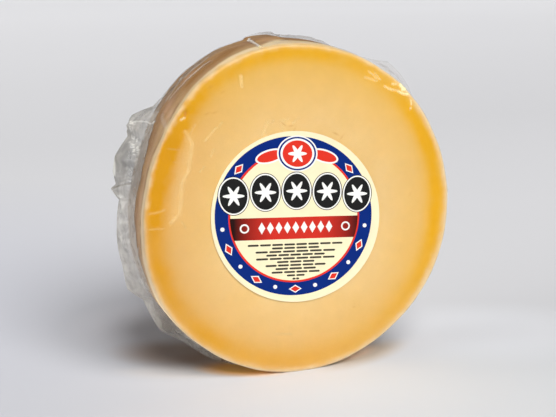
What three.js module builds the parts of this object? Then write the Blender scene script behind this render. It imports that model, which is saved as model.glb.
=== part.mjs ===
// A thick slice of provolone, cut across a big round cheese, sealed in clear shrink film.
// It stands on its rind: Z is up, the wheel's axis runs along Y and the labelled cut face looks towards -Y.
// The origin is the middle of the small flat spot that the slice rests on, in millimetres.
//
// Four pieces: the cheese, the crumpled sealed end of its bag, the bag's other loose corner, and the label.
// The rest of the film clings to the cheese and is far thinner than the gaps between these solids.

import * as THREE from "three";
import { mergeVertices } from "three/addons/utils/BufferGeometryUtils.js";

// ---- Driving dimensions ----

const DEGREE = Math.PI / 180;

const WHEEL_RADIUS = 135; // mean radius over the rind
const WHEEL_THICKNESS = 62; // cut face to cut face
const FRONT_EDGE_RADIUS = 3.5; // softened corner round the labelled face
const BACK_EDGE_RADIUS = 10; // softer corner round the other face
const RIND_BULGE = 0.9; // the rind swells this much between the two edges
const FLAT_LENGTH = 42; // chord of the flat spot under the slice

// The slice isn't a true circle: each entry swells it in that many lobes, the first one at that angle.
// Angles run from +X towards +Z, as seen from the labelled side.
const OUTLINE_SWELLS = [
  { lobes: 2, height: 2.7, peak: 105 },
  { lobes: 3, height: 1.4, peak: 106 },
  { lobes: 4, height: 0.9, peak: 24 },
  { lobes: 5, height: 0.6, peak: 52 },
];

// The cut faces are gently uneven: long low waves, each with a length, a direction and a height.
const FACE_WAVES = [
  { length: 190, direction: 25, height: 0.45 },
  { length: 120, direction: 110, height: 0.3 },
  { length: 82, direction: 165, height: 0.16 },
];

// Shallow dimples that the cloth and the shelf leave in the rind: some straight across, some slanting.
const RIND_DIMPLES = { straight: 23, slanting: 9, slantLength: 31, height: 0.35 };

// A low hump of the rind near the top: its middle and half length in degrees, the depths along Y where it starts
// and is whole, and its height.
const RIND_HUMP = { at: 98.2, halfLength: 4.6, start: -14, whole: 2, height: 1.9 };

const LABEL_LENGTH = 149; // its longest way across
const LABEL_WIDTH = 138;
const LABEL_TURN = -38; // of its longest way, in degrees from +X towards +Z
const LABEL_THICKNESS = 0.5;
const LABEL_CENTRE = { x: -5, z: -2.5 }; // from the wheel's axis
const GAP = 0.3; // clearance between touching pieces, where the film runs

// Loose film stands off the rind and comes to a crumpled seam, stretched straight from corner to corner.
// Each corner has an angle in degrees, a depth along Y and a reach beyond the rind.
const SEALED_END = {
  corners: [
    { at: 136, depth: 21, reach: 0 },
    { at: 141.5, depth: 21, reach: 3 },
    { at: 147.5, depth: 22, reach: 14.8 },
    { at: 151, depth: 20, reach: 16 },
    { at: 154, depth: 21.5, reach: 12 },
    { at: 161, depth: 20, reach: 17.3 },
    { at: 166, depth: 21.5, reach: 16 },
    { at: 169.8, depth: 20.5, reach: 12 },
    { at: 171.5, depth: 22, reach: 15 },
    { at: 175, depth: 20, reach: 7.5 },
    { at: 186, depth: 21.5, reach: 9.3 },
    { at: 197, depth: 20, reach: 10.3 },
    { at: 205.5, depth: 20.5, reach: 13.8 },
    { at: 211, depth: 18, reach: 7.5 },
    { at: 221.5, depth: 9.5, reach: 12.8 },
    { at: 229, depth: 2, reach: 7.9 },
    { at: 240, depth: -7, reach: 6.8 },
    { at: 248, depth: -10, reach: 4.5 },
    { at: 254, depth: -10, reach: 0 },
  ],
  frontSpan: 12.5, // from the seam forward to where the film lies on the rind
  backSpan: 6,
};
const LOOSE_CORNER = {
  corners: [
    { at: 35, depth: -10, reach: 0 },
    { at: 39, depth: -10, reach: 4 },
    { at: 43, depth: -10.5, reach: 7 },
    { at: 48, depth: -9, reach: 9 },
    { at: 55, depth: -11, reach: 9.3 },
    { at: 59, depth: -10, reach: 4.4 },
    { at: 65, depth: -10, reach: 0 },
  ],
  frontSpan: 10,
  backSpan: 12,
};
const FILM_SKIN = 0.6; // least thickness of the loose film's solids
const FILM_CLEARANCE = 0.8; // between their underside and the rind

// ---- Mesh fineness ----

const SEGMENTS_AROUND = 112;
const FACE_RINGS = 7;
const EDGE_STEPS = 4;
const SIDE_STEPS = 7;
const LABEL_SEGMENTS = 60;
const LABEL_RINGS = 5;
const FILM_STEPS_PER_CORNER = 3;
const FILM_STEPS_AROUND = 12;

// ---- Shape of the slice ----

const HALF = WHEEL_THICKNESS / 2;

// Distance from the axis to the rind at an angle, halfway between the faces.
function outlineRadius(angle) {
  return OUTLINE_SWELLS.reduce(
    (radius, { lobes, height, peak }) => radius + height * Math.cos(lobes * (angle - peak * DEGREE)),
    WHEEL_RADIUS,
  );
}

const BOTTOM_RADIUS = outlineRadius(-90 * DEGREE);
const AXIS_HEIGHT = Math.sqrt(BOTTOM_RADIUS ** 2 - (FLAT_LENGTH / 2) ** 2);

// How far a cut face stands proud at a place on it.
function faceWave(x, z) {
  return FACE_WAVES.reduce((sum, { length, direction, height }) => {
    const along = x * Math.cos(direction * DEGREE) + z * Math.sin(direction * DEGREE);
    return sum + height * Math.sin((2 * Math.PI * along) / length);
  }, 0);
}

// How far the rind is drawn in at a depth, by the rounded edges and the lack of bulge.
function edgeInset(y) {
  const bulge = RIND_BULGE * (y / HALF) ** 2;
  const frontStart = -HALF + FRONT_EDGE_RADIUS;
  const backStart = HALF - BACK_EDGE_RADIUS;
  const beyond = y < frontStart ? frontStart - y : Math.max(0, y - backStart);
  const radius = y < frontStart ? FRONT_EDGE_RADIUS : BACK_EDGE_RADIUS;
  return bulge + radius - Math.sqrt(Math.max(0, radius ** 2 - beyond ** 2));
}

// How far the hump raises the rind at a place on it.
function rindHump(angle, y) {
  const fromMiddle = Math.abs(THREE.MathUtils.euclideanModulo(angle / DEGREE, 360) - RIND_HUMP.at);
  const along = 1 - THREE.MathUtils.smoothstep(fromMiddle, RIND_HUMP.halfLength - 0.7, RIND_HUMP.halfLength + 0.7);
  return RIND_HUMP.height * along * THREE.MathUtils.smoothstep(y, RIND_HUMP.start, RIND_HUMP.whole);
}

// How far the dimples and the hump raise the rind at a place on it.
function rindDimple(angle, y) {
  const { straight, slanting, slantLength, height } = RIND_DIMPLES;
  const slant = (2 * Math.PI * y) / slantLength;
  const dimple = (height / 2) * (Math.sin(straight * angle) + Math.sin(slanting * angle + slant));
  return dimple + rindHump(angle, y);
}

// Moves every vertex of a geometry to place(vertex), then joins the vertices that coincide.
function reshaped(geometry, place) {
  const position = geometry.getAttribute("position");
  const vertex = new THREE.Vector3();
  for (let i = 0; i < position.count; i++) {
    vertex.fromBufferAttribute(position, i);
    place(vertex);
    position.setXYZ(i, vertex.x, vertex.y, vertex.z);
  }
  geometry.deleteAttribute("normal");
  geometry.deleteAttribute("uv");
  const merged = mergeVertices(geometry, 1e-3);
  merged.computeVertexNormals();
  return merged;
}

// ---- The cheese: a turned profile, then made uneven ----

function wheelProfile() {
  const backFlat = WHEEL_RADIUS - RIND_BULGE - BACK_EDGE_RADIUS;
  const frontFlat = WHEEL_RADIUS - RIND_BULGE - FRONT_EDGE_RADIUS;
  const points = [];
  for (let i = 0; i <= FACE_RINGS; i++) {
    points.push(new THREE.Vector2((frontFlat * i) / FACE_RINGS, -HALF));
  }
  for (let i = 1; i <= EDGE_STEPS; i++) {
    const turn = ((i / EDGE_STEPS) * Math.PI) / 2;
    const y = -HALF + FRONT_EDGE_RADIUS * (1 - Math.cos(turn));
    points.push(new THREE.Vector2(WHEEL_RADIUS - edgeInset(y), y));
  }
  const sideLength = WHEEL_THICKNESS - FRONT_EDGE_RADIUS - BACK_EDGE_RADIUS;
  for (let i = 1; i <= SIDE_STEPS; i++) {
    const y = -HALF + FRONT_EDGE_RADIUS + (sideLength * i) / SIDE_STEPS;
    points.push(new THREE.Vector2(WHEEL_RADIUS - edgeInset(y), y));
  }
  for (let i = 1; i <= EDGE_STEPS; i++) {
    const turn = ((i / EDGE_STEPS) * Math.PI) / 2;
    const y = HALF - BACK_EDGE_RADIUS * (1 - Math.sin(turn));
    points.push(new THREE.Vector2(WHEEL_RADIUS - edgeInset(y), y));
  }
  for (let i = FACE_RINGS - 1; i >= 0; i--) {
    points.push(new THREE.Vector2((backFlat * i) / FACE_RINGS, HALF));
  }
  return points;
}

function cheeseGeometry() {
  const turned = new THREE.LatheGeometry(wheelProfile(), SEGMENTS_AROUND);
  return reshaped(turned, (v) => {
    const angle = Math.atan2(v.z, v.x);
    const share = Math.hypot(v.x, v.z) / WHEEL_RADIUS;
    const onFace = THREE.MathUtils.smoothstep(Math.abs(v.y), HALF - FRONT_EDGE_RADIUS, HALF);
    const radius = share * outlineRadius(angle) + (1 - onFace) * rindDimple(angle, v.y);
    v.y += onFace * Math.sign(v.y) * faceWave(v.x, v.z);
    v.x = radius * Math.cos(angle);
    v.z = Math.max(radius * Math.sin(angle), -AXIS_HEIGHT);
  });
}

// ---- Loose film: a closed crescent along the rind, coming to a crumpled seam ----

// The seam at a share of the way from the first corner to the last.
function seamAt(corners, share) {
  const place = share * (corners.length - 1);
  const from = Math.min(Math.floor(place), corners.length - 2);
  const mix = (key) => THREE.MathUtils.lerp(corners[from][key], corners[from + 1][key], place - from);
  return { angle: mix("at") * DEGREE, depth: mix("depth"), reach: mix("reach") };
}

function looseFilmGeometry({ corners, frontSpan, backSpan }) {
  const stepsAlong = FILM_STEPS_PER_CORNER * (corners.length - 1);
  const ball = new THREE.SphereGeometry(1, FILM_STEPS_AROUND, stepsAlong);
  return reshaped(ball, (v) => {
    const polar = Math.acos(THREE.MathUtils.clamp(v.y, -1, 1));
    const seam = seamAt(corners, 1 - polar / Math.PI);
    const width = Math.sqrt(Math.sin(polar)); // narrows to a point at both ends
    const ring = Math.hypot(v.x, v.z) || 1;
    const across = v.x / ring; // -1 at the front foot, 0 at the seam, 1 at the back foot
    const outward = Math.max(0, v.z / ring); // 0 all over the underside

    const y = seam.depth + (across < 0 ? frontSpan : backSpan) * across * width;
    const skin = FILM_CLEARANCE + FILM_SKIN * outward * width;
    const rise = outward > 0 ? (1 - Math.abs(across)) * seam.reach : 0;
    const lift = Math.max(skin, rise);
    const radius = outlineRadius(seam.angle) - edgeInset(y) + rindDimple(seam.angle, y) + lift;
    v.set(radius * Math.cos(seam.angle), y, radius * Math.sin(seam.angle));
  });
}

// ---- The label: a thin, slightly oval disc that follows the cut face ----

function labelGeometry() {
  const profile = [];
  for (let i = 0; i <= LABEL_RINGS; i++) {
    profile.push(new THREE.Vector2(i / LABEL_RINGS, -GAP - LABEL_THICKNESS));
  }
  for (let i = LABEL_RINGS; i >= 0; i--) {
    profile.push(new THREE.Vector2(i / LABEL_RINGS, -GAP));
  }
  const cos = Math.cos(LABEL_TURN * DEGREE);
  const sin = Math.sin(LABEL_TURN * DEGREE);
  return reshaped(new THREE.LatheGeometry(profile, LABEL_SEGMENTS), (v) => {
    const long = (v.x * LABEL_LENGTH) / 2;
    const short = (v.z * LABEL_WIDTH) / 2;
    v.x = LABEL_CENTRE.x + long * cos - short * sin;
    v.z = LABEL_CENTRE.z + long * sin + short * cos;
    v.y -= HALF + faceWave(v.x, v.z);
  });
}

// ---- Materials and the finished group ----

const cheeseMaterial = new THREE.MeshStandardMaterial({ color: 0xf3c173, roughness: 0.5, metalness: 0 });
const filmMaterial = new THREE.MeshStandardMaterial({
  color: 0xdcdcda,
  roughness: 0.2,
  metalness: 0,
  transparent: true,
  opacity: 0.35,
});
const labelMaterial = new THREE.MeshStandardMaterial({ color: 0xfff6cf, roughness: 0.45, metalness: 0 });

function piece(name, geometry, material) {
  const mesh = new THREE.Mesh(geometry, material);
  mesh.name = name;
  mesh.position.z = AXIS_HEIGHT;
  return mesh;
}

const provolone = new THREE.Group();
provolone.add(
  piece("cheese_wheel", cheeseGeometry(), cheeseMaterial),
  piece("bag_sealed_end", looseFilmGeometry(SEALED_END), filmMaterial),
  piece("bag_loose_corner", looseFilmGeometry(LOOSE_CORNER), filmMaterial),
  piece("label", labelGeometry(), labelMaterial),
);

export default provolone;
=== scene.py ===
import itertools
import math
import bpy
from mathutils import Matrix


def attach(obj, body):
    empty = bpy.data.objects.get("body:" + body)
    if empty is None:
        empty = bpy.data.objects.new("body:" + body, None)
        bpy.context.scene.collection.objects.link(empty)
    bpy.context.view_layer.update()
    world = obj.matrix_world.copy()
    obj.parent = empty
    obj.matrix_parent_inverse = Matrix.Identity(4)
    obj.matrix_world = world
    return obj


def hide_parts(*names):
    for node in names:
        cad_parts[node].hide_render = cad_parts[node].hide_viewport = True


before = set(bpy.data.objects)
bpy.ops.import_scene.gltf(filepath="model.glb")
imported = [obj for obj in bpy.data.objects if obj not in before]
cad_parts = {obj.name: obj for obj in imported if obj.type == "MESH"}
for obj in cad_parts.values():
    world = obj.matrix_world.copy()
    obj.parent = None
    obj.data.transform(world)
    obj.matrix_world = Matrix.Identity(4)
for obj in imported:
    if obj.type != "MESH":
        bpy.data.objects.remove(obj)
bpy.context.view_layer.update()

# A thick slice of provolone, standing on its rind in clear shrink film, with a round label on its cut face.
# Lengths are in metres. Z is up, the wheel's axis runs along Y and the labelled cut face looks towards -Y.
# Places on the slice are measured from its axis: angles in degrees run from +X towards +Z, as seen from the
# labelled side, and shares run from 0 at the axis to 1 at the rind.

from types import SimpleNamespace

import bmesh
import bpy
import numpy as np
from mathutils import Vector

MM = 0.001

# ---- The slice's shape ----

WHEEL_RADIUS = 135 * MM  # mean radius over the rind
HALF = 31 * MM  # half the thickness, cut face to cut face
FRONT_EDGE_RADIUS = 3.5 * MM
BACK_EDGE_RADIUS = 10 * MM
RIND_BULGE = 0.9 * MM  # the rind swells this much between its edges
FLAT_LENGTH = 42 * MM  # chord of the flat spot that the slice rests on

# The slice isn't a true circle: (lobes, height, angle of the first lobe).
OUTLINE_SWELLS = [(2, 2.7 * MM, 105), (3, 1.4 * MM, 106), (4, 0.9 * MM, 24), (5, 0.6 * MM, 52)]

# The cut faces are gently uneven: (length, direction, height) of each long low wave.
FACE_WAVES = [(190 * MM, 25, 0.45 * MM), (120 * MM, 110, 0.3 * MM), (82 * MM, 165, 0.16 * MM)]

# Shallow dimples that the cloth and the shelf leave in the rind.
STRAIGHT_DIMPLES = 23
SLANTING_DIMPLES = 9
DIMPLE_SLANT_LENGTH = 31 * MM
DIMPLE_HEIGHT = 0.35 * MM

# A low hump of the rind near the top: middle and half length in degrees, depths where it starts and is whole.
HUMP_MIDDLE, HUMP_HALF = 98.2, 4.6
HUMP_BLUR = 0.7
HUMP_START, HUMP_WHOLE = -14 * MM, 2 * MM
HUMP_HEIGHT = 1.9 * MM

# Shares of the radius at which the flat part of each cut face ends.
FRONT_FLAT = (WHEEL_RADIUS - RIND_BULGE - FRONT_EDGE_RADIUS) / WHEEL_RADIUS
BACK_FLAT = (WHEEL_RADIUS - RIND_BULGE - BACK_EDGE_RADIUS) / WHEEL_RADIUS


def smooth_ramp(value, start, end):
    """0 up to start, 1 from end on, and a smooth rise between them."""
    part = np.clip((value - start) / (end - start), 0, 1)
    return part * part * (3 - 2 * part)


def smooth_fall(value, start, end):
    """1 up to start, 0 from end on, and a smooth fall between them."""
    return smooth_ramp(-value, -end, -start)


def window(value, rise, fall):
    """1 between a smooth rise and a smooth fall, each (start, end), and 0 outside them."""
    return smooth_ramp(value, *rise) * smooth_fall(value, *fall)


def summed_steps(value, steps):
    """The sum of smooth steps, each (start, end, change)."""
    return sum(change * smooth_ramp(value, start, end) for start, end, change in steps)


def bell(value, width):
    """1 at 0, falling on both sides to about a third at the width."""
    return np.exp(-((value / width) ** 2))


def turned(across, up, turn):
    """A step in a plane, turned by an angle in radians."""
    cos, sin = np.cos(turn), np.sin(turn)
    return across * cos - up * sin, across * sin + up * cos


def outline_radius(angle):
    """Distance from the axis to the rind at angles in radians, halfway between the faces."""
    swells = [height * np.cos(lobes * (angle - math.radians(peak))) for lobes, height, peak in OUTLINE_SWELLS]
    return WHEEL_RADIUS + sum(swells)


BOTTOM_RADIUS = float(outline_radius(np.array(-math.pi / 2)))
AXIS_HEIGHT = math.sqrt(BOTTOM_RADIUS**2 - (FLAT_LENGTH / 2) ** 2)


def face_wave(x, z):
    """How far a cut face stands proud at a place on it."""
    total = 0
    for length, direction, height in FACE_WAVES:
        along = x * math.cos(math.radians(direction)) + z * math.sin(math.radians(direction))
        total = total + height * np.sin(2 * math.pi * along / length)
    return total


def edge_inset(y):
    """How far the rind is drawn in at a depth, by the rounded edges and the lack of bulge."""
    front_start = -HALF + FRONT_EDGE_RADIUS
    back_start = HALF - BACK_EDGE_RADIUS
    at_front = y < front_start
    beyond = np.where(at_front, front_start - y, np.maximum(0, y - back_start))
    rounding = np.where(at_front, FRONT_EDGE_RADIUS, BACK_EDGE_RADIUS)
    return RIND_BULGE * (y / HALF) ** 2 + rounding - np.sqrt(np.maximum(0, rounding**2 - beyond**2))


def rind_dimple(angle, y):
    """How far the dimples and the hump raise the rind at a place on it."""
    slant = 2 * math.pi * y / DIMPLE_SLANT_LENGTH
    dimples = np.sin(STRAIGHT_DIMPLES * angle) + np.sin(SLANTING_DIMPLES * angle + slant)
    from_middle = np.abs(np.degrees(angle) % 360 - HUMP_MIDDLE)
    hump = smooth_fall(from_middle, HUMP_HALF - HUMP_BLUR, HUMP_HALF + HUMP_BLUR)
    return DIMPLE_HEIGHT / 2 * dimples + HUMP_HEIGHT * hump * smooth_ramp(y, HUMP_START, HUMP_WHOLE)


def rind_depths(front_steps, middle_steps, back_steps):
    """Depths from the labelled face over both rounded edges to the back face, evenly along each part."""
    front_turn = np.linspace(0, math.pi / 2, front_steps + 1)
    back_turn = np.linspace(0, math.pi / 2, back_steps + 1)[1:]
    return np.concatenate([
        -HALF + FRONT_EDGE_RADIUS * (1 - np.cos(front_turn)),
        np.linspace(-HALF + FRONT_EDGE_RADIUS, HALF - BACK_EDGE_RADIUS, middle_steps + 1)[1:],
        HALF - BACK_EDGE_RADIUS * (1 - np.sin(back_turn)),
    ])


def face_spot(angle, share):
    """The place on a cut face, from the axis, at an angle and a share."""
    return share * WHEEL_RADIUS * np.cos(angle), share * WHEEL_RADIUS * np.sin(angle)


def slice_grid(share, y, angle):
    """Points of the slice's own surface, from arrays of shares, depths and angles that go together."""
    on_face = smooth_ramp(np.abs(y), HALF - FRONT_EDGE_RADIUS, HALF)
    radius = share * outline_radius(angle) + (1 - on_face) * rind_dimple(angle, y)
    depth = y + on_face * np.sign(y) * face_wave(*face_spot(angle, share))
    height = AXIS_HEIGHT + np.maximum(radius * np.sin(angle), -AXIS_HEIGHT)
    return np.stack([radius * np.cos(angle), depth, height], axis=-1)


def spaced_angles(parts):
    """Angles in radians, from parts (start, end, step) in degrees."""
    return np.radians(np.concatenate([np.arange(start, end - 1e-6, step) for start, end, step in parts]))


def by_angle(table, degrees):
    """Values of a table (angle, ...) at angles in degrees, going round past 360."""
    table = np.array(table, dtype=float)
    table = np.vstack([table, [table[0, 0] + 360, *table[0, 1:]]])
    wrapped = np.where(degrees < table[0, 0], degrees + 360, degrees)
    return [np.interp(wrapped, table[:, 0], column) for column in table[:, 1:].T]


# ---- Unevenness ----


def lattice_value(cell, seed):
    """A fixed random value from -1 to 1 for each whole-numbered cell, (..., 3)."""
    mixed = cell[..., 0] * 73856093 ^ cell[..., 1] * 19349663 ^ cell[..., 2] * 83492791 ^ seed * 2654435761
    mixed = (mixed & 0xFFFFFFFF).astype(np.uint64)
    mixed = ((mixed ^ (mixed >> 15)) * 2246822519) & 0xFFFFFFFF
    mixed = ((mixed ^ (mixed >> 13)) * 3266489917) & 0xFFFFFFFF
    return (mixed ^ (mixed >> 16)) / 0xFFFFFFFF * 2 - 1


def lumps(points, size, seed):
    """Smooth random values from -1 to 1 over points (..., 3), one lump to about each size."""
    place = points / size
    cell = np.floor(place).astype(np.int64)
    inside = place - cell
    blend = inside * inside * (3 - 2 * inside)
    total = 0
    for corner in itertools.product((0, 1), repeat=3):
        share = 1
        for axis, side in enumerate(corner):
            share = share * (blend[..., axis] if side else 1 - blend[..., axis])
        total = total + share * lattice_value(cell + np.array(corner), seed)
    return total


def rough_lumps(points, size, seed):
    """Lumps with smaller ones on them, turned so that no grid shows."""
    turn = np.array([[0.36, 0.48, -0.8], [-0.8, 0.6, 0], [0.48, 0.64, 0.6]])
    return (
        0.6 * lumps(points @ turn, size, seed)
        + 0.28 * lumps(points @ turn.T, size * 0.47, seed + 1)
        + 0.12 * lumps(points, size * 0.22, seed + 2)
    )


def creases(points, size, sharpness, seed):
    """Thin crossing ridges, 1 on a crease and falling to 0 between them."""
    return (1 - np.abs(rough_lumps(points, size, seed))) ** sharpness


def facets(places, size, seed):
    """Low pyramids with flat sides and sharp edges over places (..., 2): 0 at their tops and up to 1."""
    spot = places / size
    home = np.floor(spot).astype(np.int64)
    away = np.ones(spot.shape[:-1])
    for step in itertools.product((-1, 0, 1), repeat=2):
        corner = home + np.array(step)
        cell = np.concatenate([corner, np.zeros_like(corner[..., :1])], axis=-1)
        off = spot - corner - 0.5
        off_u = off[..., 0] - 0.4 * lattice_value(cell, seed)
        off_v = off[..., 1] - 0.4 * lattice_value(cell, seed + 1)
        across, along = turned(off_u, off_v, -math.pi * lattice_value(cell, seed + 2))
        away = np.minimum(away, np.maximum(1.2 * np.abs(across), 0.8 * np.abs(along)))
    return away


# ---- Turned skins: rows of points from the middle of one face to the middle of the other ----


def skin_normals(grid):
    """Outward unit normals of a grid (rows, columns, 3) whose columns close on themselves."""
    down = np.gradient(grid, axis=0)
    around = np.roll(grid, -1, axis=1) - np.roll(grid, 1, axis=1)
    normals = np.cross(down, around)
    return normals / np.maximum(np.linalg.norm(normals, axis=2, keepdims=True), 1e-12)


def raise_skin(grid, height):
    """The grid moved outward by a height at each point, with the slice's resting spot kept flat."""
    raised = grid + skin_normals(grid) * height[..., None]
    raised[..., 2] = np.maximum(raised[..., 2], grid[..., 2].min())
    return raised


def face_centre(y_side):
    """The point where the axis meets a cut face: -1 for the labelled one, 1 for the other."""
    return np.array([0, y_side * (HALF + float(face_wave(0, 0))), AXIS_HEIGHT])


def add_object(name, data):
    """An object in the scene, from its mesh, light or camera."""
    thing = bpy.data.objects.new(name, data)
    bpy.context.scene.collection.objects.link(thing)
    return thing


def skin_object(name, grid, front_centre, back_centre, masks, material):
    """A closed smooth mesh over the grid, with a float attribute for each mask (rows, columns)."""
    rows, columns = grid.shape[:2]
    points = np.vstack([front_centre[None], grid.reshape(-1, 3), back_centre[None]])
    here = np.arange(columns)
    there = np.roll(here, -1)
    pairs = list(zip(here.tolist(), there.tolist()))
    faces = [(0, 1 + a, 1 + b) for a, b in pairs]
    for row in range(rows - 1):
        upper = 1 + row * columns
        lower = upper + columns
        quads = np.stack([upper + here, lower + here, lower + there, upper + there], axis=1)
        faces.extend(map(tuple, quads.tolist()))
    last_row = 1 + (rows - 1) * columns
    faces.extend((last_row + a, len(points) - 1, last_row + b) for a, b in pairs)

    mesh = bpy.data.meshes.new(name)
    mesh.from_pydata(points.tolist(), [], faces)
    mesh.shade_smooth()
    for mask_name, mask in masks.items():
        values = np.concatenate([[mask[0].mean()], mask.ravel(), [mask[-1].mean()]])
        attribute = mesh.attributes.new(mask_name, "FLOAT", "POINT")
        attribute.data.foreach_set("value", values.astype(np.float32))
    mesh.materials.append(material)
    return add_object(name, mesh)


# ---- Material building ----


def new_material(name):
    """A node material, with its tree and its Principled shader."""
    material = bpy.data.materials.new(name)
    material.use_nodes = True
    tree = material.node_tree
    return material, tree, tree.nodes["Principled BSDF"]


def feed(tree, node, inputs):
    """Sets a node's input sockets, from other sockets or to plain values."""
    for key, value in inputs.items():
        if isinstance(value, bpy.types.NodeSocket):
            tree.links.new(value, node.inputs[key])
        else:
            node.inputs[key].default_value = value


def add_node(tree, kind, inputs=None, **settings):
    """A node with its settings, and its input sockets fed."""
    node = tree.nodes.new(kind)
    for key, value in settings.items():
        setattr(node, key, value)
    feed(tree, node, inputs or {})
    return node


def mask_socket(tree, name):
    """The values of a float attribute."""
    return add_node(tree, "ShaderNodeAttribute", attribute_name=name).outputs["Fac"]


def mixed_colour(tree, share, under, over, mode="MIX"):
    """One colour laid over another by a share from 0 to 1."""
    given = {0: share, 6: under, 7: over}
    return add_node(tree, "ShaderNodeMix", inputs=given, data_type="RGBA", blend_type=mode).outputs[2]


def layered_colour(tree, under, *layers):
    """Colours laid over one another, each (share, colour)."""
    for share, over in layers:
        under = mixed_colour(tree, share, under, over)
    return under


def mixed_value(tree, share, first, second):
    """A value between two others, at a share from 0 to 1 of the way."""
    given = {0: share, 2: first, 3: second}
    return add_node(tree, "ShaderNodeMix", inputs=given, data_type="FLOAT").outputs[0]


def shaded(tree, colour, value):
    """A colour made brighter or darker by a value."""
    grey = add_node(tree, "ShaderNodeCombineColor", inputs={0: value, 1: value, 2: value}).outputs[0]
    return mixed_colour(tree, 1.0, colour, grey, mode="MULTIPLY")


def maths(tree, operation, *values):
    """Values added, multiplied or otherwise taken together, from the first to the last."""
    result = values[0]
    for value in values[1:]:
        given = {0: result, 1: value}
        result = add_node(tree, "ShaderNodeMath", inputs=given, operation=operation).outputs[0]
    return result


def spread(tree, value, low, high, out_low, out_high):
    """A value from low to high, spread over another range and held inside it."""
    wanted = {"Value": value, "From Min": low, "From Max": high, "To Min": out_low, "To Max": out_high}
    return add_node(tree, "ShaderNodeMapRange", inputs=wanted).outputs["Result"]


def new_group(name, inputs, outputs):
    """A shader node group with named sockets: {name: (kind, value)} in, {name: kind} out."""
    group = bpy.data.node_groups.new(name, "ShaderNodeTree")
    for label, (kind, value) in inputs.items():
        socket = group.interface.new_socket(label, in_out="INPUT", socket_type=kind)
        socket.default_value = value
    for label, kind in outputs.items():
        group.interface.new_socket(label, in_out="OUTPUT", socket_type=kind)
    entry = group.nodes.new("NodeGroupInput")
    leave = group.nodes.new("NodeGroupOutput")
    return group, entry.outputs, leave.inputs


def place_group(tree, group, **values):
    """The outputs of a group placed in a material, with its own values or links."""
    given = {key.capitalize(): value for key, value in values.items()}
    return add_node(tree, "ShaderNodeGroup", inputs=given, node_tree=group).outputs


def pattern(group, kind, size, **values):
    """The outputs of a pattern over the object, with features of a size."""
    place = add_node(group, "ShaderNodeTexCoord").outputs["Object"]
    scale = maths(group, "DIVIDE", 1.0, size)
    return add_node(group, kind, inputs={"Vector": place, "Scale": scale, **values}).outputs


FLOAT = "NodeSocketFloat"


def make_cloudiness():
    """Soft clouds, large and small: a value from 0 to 1 around 0.5, used for tones that drift."""
    group, given, result = new_group(
        "cloudiness",
        {"Size": (FLOAT, 0.02), "Detail": (FLOAT, 3.0), "Contrast": (FLOAT, 1.0)},
        {"Value": FLOAT},
    )
    cloud = pattern(group, "ShaderNodeTexNoise", given["Size"], Detail=given["Detail"])["Fac"]
    stretched = maths(group, "MULTIPLY", maths(group, "SUBTRACT", cloud, 0.5), given["Contrast"])
    held = spread(group, stretched, -0.5, 0.5, 0.0, 1.0)
    group.links.new(held, result["Value"])
    return group


def make_fine_grain():
    """The smallest unevenness of a surface, as a height from 0 to 1, with a few deeper specks in it."""
    group, given, result = new_group(
        "fine grain", {"Size": (FLOAT, 0.002), "Specks": (FLOAT, 0.3)}, {"Height": FLOAT}
    )
    grain = pattern(group, "ShaderNodeTexNoise", given["Size"], Detail=4.0, Roughness=0.55)["Fac"]
    cells = pattern(group, "ShaderNodeTexVoronoi", given["Size"])["Distance"]
    hollow = spread(group, cells, 0.0, 0.35, 1.0, 0.0)
    height = maths(group, "SUBTRACT", grain, maths(group, "MULTIPLY", hollow, given["Specks"]))
    group.links.new(height, result["Height"])
    return group


CLOUDINESS = make_cloudiness()
FINE_GRAIN = make_fine_grain()


def clouds(tree, size, detail, contrast):
    """Cloudiness of its own size, detail and contrast, in a material."""
    return place_group(tree, CLOUDINESS, size=size, detail=detail, contrast=contrast)["Value"]


def grain(tree, size, specks):
    """Fine grain of its own size and share of specks, in a material."""
    return place_group(tree, FINE_GRAIN, size=size, specks=specks)["Height"]


def relief(tree, height, strength, distance):
    """Normals of a surface whose height, from 0 to 1, is felt in how it catches the light."""
    given = {"Height": height, "Strength": strength, "Distance": distance}
    return add_node(tree, "ShaderNodeBump", inputs=given).outputs["Normal"]


def tone(red, green, blue):
    """An opaque colour from its linear parts."""
    return (red, green, blue, 1.0)


# ---- The cheese ----

# Columns are closer where the small marks are: (start, end, step) in degrees.
CHEESE_COLUMNS = [(0, 50, 1.25), (50, 165, 0.5), (165, 360, 1.25)]
CHEESE_FACE_ROWS = 100
ROW_CROWDING = 0.8  # rows come closer towards the edge of each face
CHEESE_EDGE_ROWS = 9
CHEESE_RIND_ROWS = 34
CHEESE_BACK_ROWS = 22

# The amber band under the rind and the pale rim outside it: (angle, strength, share of the band's middle,
# its width inward and outward, where the rim begins and is complete, and how much deeper and darker the tones
# are). A share over 1 lies on the rind.
EDGE_TONES = [
    (0, 1.05, 0.905, 0.048, 0.036, 0.940, 0.998, 0.10),
    (30, 1.15, 0.920, 0.042, 0.030, 0.946, 1.000, 0.10),
    (60, 0.60, 0.940, 0.045, 0.030, 0.960, 1.008, 0.00),
    (90, 1.00, 0.944, 0.034, 0.026, 0.956, 1.032, 0.00),
    (120, 0.75, 0.946, 0.042, 0.028, 0.956, 1.036, 0.15),
    (150, 1.42, 0.944, 0.050, 0.036, 0.970, 1.034, 1.00),
    (180, 1.03, 0.940, 0.058, 0.036, 0.968, 1.030, 1.00),
    (210, 0.72, 0.932, 0.060, 0.032, 0.960, 1.020, 0.95),
    (240, 0.68, 0.927, 0.060, 0.030, 0.952, 1.010, 0.80),
    (270, 0.50, 0.920, 0.060, 0.030, 0.945, 1.005, 0.80),
    (300, 0.32, 0.912, 0.060, 0.032, 0.940, 1.005, 0.50),
    (330, 0.76, 0.902, 0.052, 0.034, 0.926, 0.994, 0.25),
]

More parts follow.
